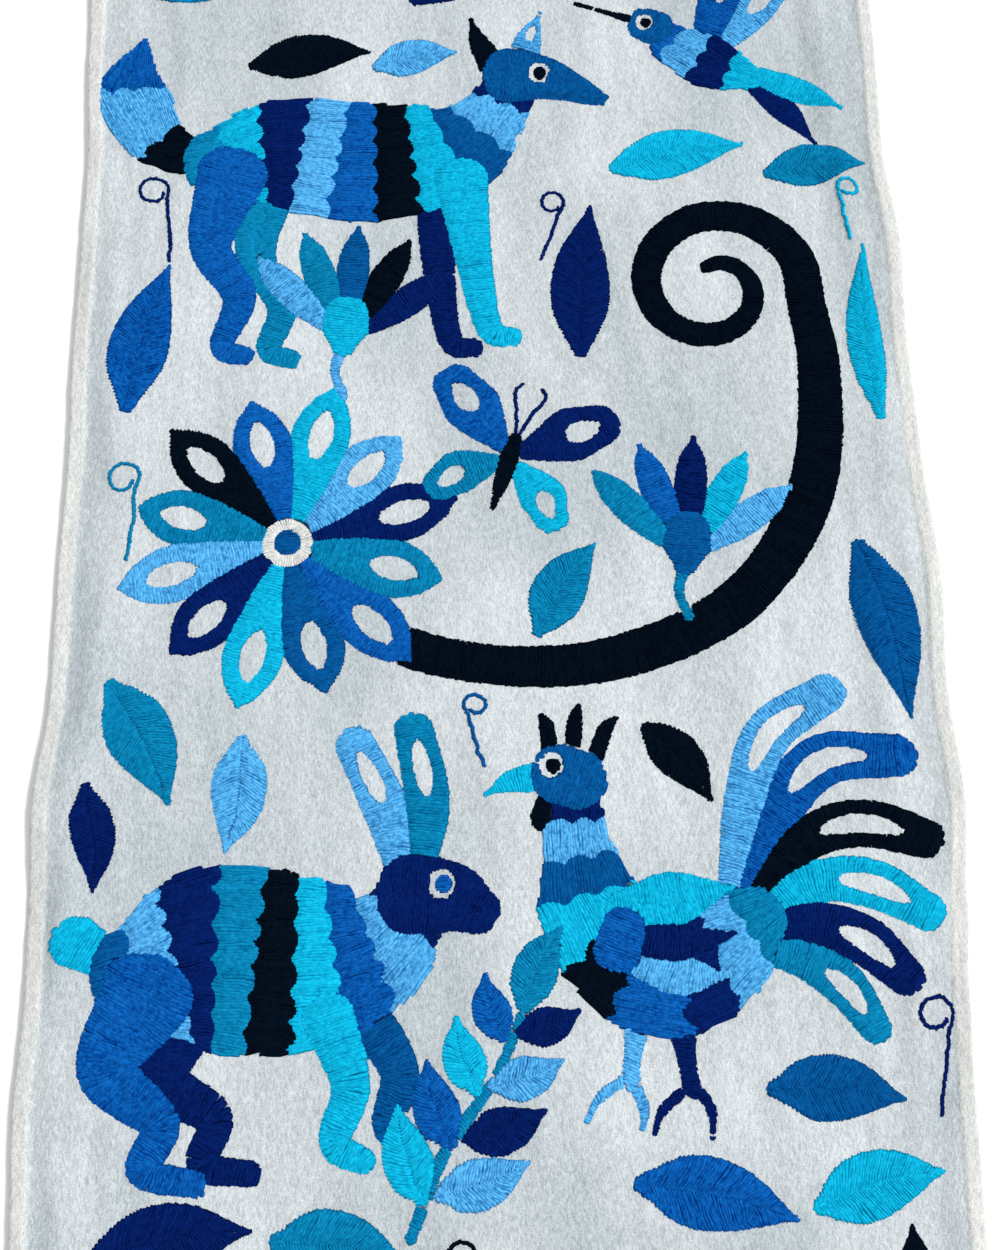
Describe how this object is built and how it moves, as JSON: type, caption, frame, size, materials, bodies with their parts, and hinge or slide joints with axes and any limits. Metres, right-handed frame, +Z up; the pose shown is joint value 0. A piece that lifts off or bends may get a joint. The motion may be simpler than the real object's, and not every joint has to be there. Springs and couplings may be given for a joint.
{
  "type": "embroidered table runner",
  "caption": "Flat cotton table runner with turned hems, covered in raised satin-stitch animals, flowers and leaves in blues, turquoise and black.",
  "frame": {"origin": "middle of the runner's underside, on the table", "axes": "+X across the runner, +Y along it, +Z up out of the embroidered face"},
  "size_m": [0.41, 1.2, 0.0041],
  "materials": {
    "cotton": "off-white plain-weave cotton, matt, with slubs",
    "thread_black": "black cotton floss in satin stitch, soft sheen",
    "thread_navy": "navy cotton floss in satin stitch, soft sheen",
    "thread_royal": "royal blue cotton floss in satin stitch, soft sheen",
    "thread_mid_blue": "mid blue cotton floss in satin stitch, soft sheen",
    "thread_teal": "teal blue cotton floss in satin stitch, soft sheen",
    "thread_turquoise": "turquoise cotton floss in satin stitch, soft sheen",
    "thread_light_blue": "light blue cotton floss in satin stitch, soft sheen",
    "thread_white": "off-white cotton floss and sewing thread, matt"
  },
  "bodies": {
    "root": {"runner": "cotton"}
  },
  "joints": []
}
